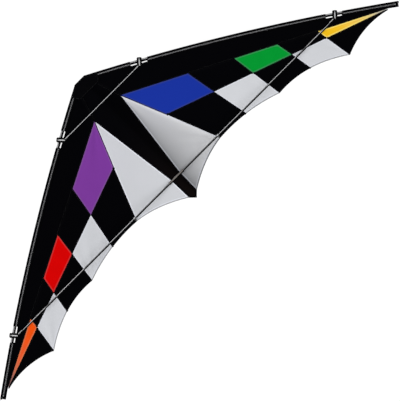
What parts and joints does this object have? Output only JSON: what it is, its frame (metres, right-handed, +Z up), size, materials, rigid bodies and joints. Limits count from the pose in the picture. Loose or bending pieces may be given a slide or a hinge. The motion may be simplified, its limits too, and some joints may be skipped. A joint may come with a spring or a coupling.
{
  "type": "stunt kite",
  "caption": "Delta stunt kite with a scalloped panelled sail on a carbon frame, lying on its back on its nose and standoff points.",
  "frame": {"origin": "centre of the bounding box, on the floor that the kite lies on", "axes": "+X across the span to the right wing seen from the front, +Y towards the nose, +Z up from the floor, out of the kite's front side"},
  "size_m": [2.4114, 0.7382, 0.1815],
  "materials": {
    "carbon": "wound carbon tube, satin gloss",
    "rubber": "moulded black rubber",
    "tee_rubber": "moulded brown-black rubber",
    "webbing": "black woven webbing",
    "sleeve_fabric": "black coated polyester sleeve",
    "black_ripstop": "black ripstop sailcloth",
    "light_ripstop": "light grey ripstop sailcloth",
    "blue_ripstop": "blue ripstop sailcloth",
    "purple_ripstop": "purple ripstop sailcloth",
    "green_ripstop": "green ripstop sailcloth",
    "red_ripstop": "red ripstop sailcloth",
    "yellow_ripstop": "yellow ripstop sailcloth",
    "orange_ripstop": "orange ripstop sailcloth",
    "clip_plastic": "moulded grey plastic",
    "fibreglass": "black fibreglass rod"
  },
  "bodies": {
    "frame_and_sail": {"spine": "carbon", "spine_cap": "rubber", "upper_spreader": "carbon", "left_lower_spreader": "carbon", "right_lower_spreader": "carbon", "centre_tee": "tee_rubber", "nose_cap": "webbing", "centre_strip": "black_ripstop", "left_leading_edge_spar": "carbon", "right_leading_edge_spar": "carbon", "left_tip_cap": "rubber", "right_tip_cap": "rubber", "left_sleeve": "sleeve_fabric", "right_sleeve": "sleeve_fabric", "left_upper_connector": "rubber", "right_upper_connector": "rubber", "left_lower_connector": "rubber", "right_lower_connector": "rubber", "left_leading_panel": "black_ripstop", "right_leading_panel": "black_ripstop", "left_first_colour_panel": "purple_ripstop", "right_first_colour_panel": "blue_ripstop", "left_second_black_panel": "black_ripstop", "right_second_black_panel": "black_ripstop", "left_second_colour_panel": "red_ripstop", "right_second_colour_panel": "green_ripstop", "left_third_black_panel": "black_ripstop", "right_third_black_panel": "black_ripstop", "left_third_colour_panel": "orange_ripstop", "right_third_colour_panel": "yellow_ripstop", "left_keel_panel": "light_ripstop", "right_keel_panel": "light_ripstop", "left_first_trailing_panel": "black_ripstop", "right_first_trailing_panel": "black_ripstop", "left_second_trailing_panel": "light_ripstop", "right_second_trailing_panel": "light_ripstop", "left_third_trailing_panel": "black_ripstop", "right_third_trailing_panel": "black_ripstop", "left_fourth_trailing_panel": "light_ripstop", "right_fourth_trailing_panel": "light_ripstop", "left_tip_panel": "black_ripstop", "right_tip_panel": "black_ripstop", "left_standoff_patch": "webbing", "right_standoff_patch": "webbing"},
    "left_standoff": {"left_standoff_clip": "clip_plastic", "left_standoff_rod": "fibreglass", "left_standoff_foot": "rubber"},
    "right_standoff": {"right_standoff_clip": "clip_plastic", "right_standoff_rod": "fibreglass", "right_standoff_foot": "rubber"}
  },
  "joints": [
    {"name": "left_standoff_swing", "type": "hinge", "parent": "frame_and_sail", "child": "left_standoff", "pos_m": [-0.251, -0.2017, 0.1538], "axis": [-1, 0, 0], "range_deg": [0, 260]},
    {"name": "right_standoff_swing", "type": "hinge", "parent": "frame_and_sail", "child": "right_standoff", "pos_m": [0.251, -0.2017, 0.1538], "axis": [-1, 0, 0], "range_deg": [0, 260]}
  ]
}
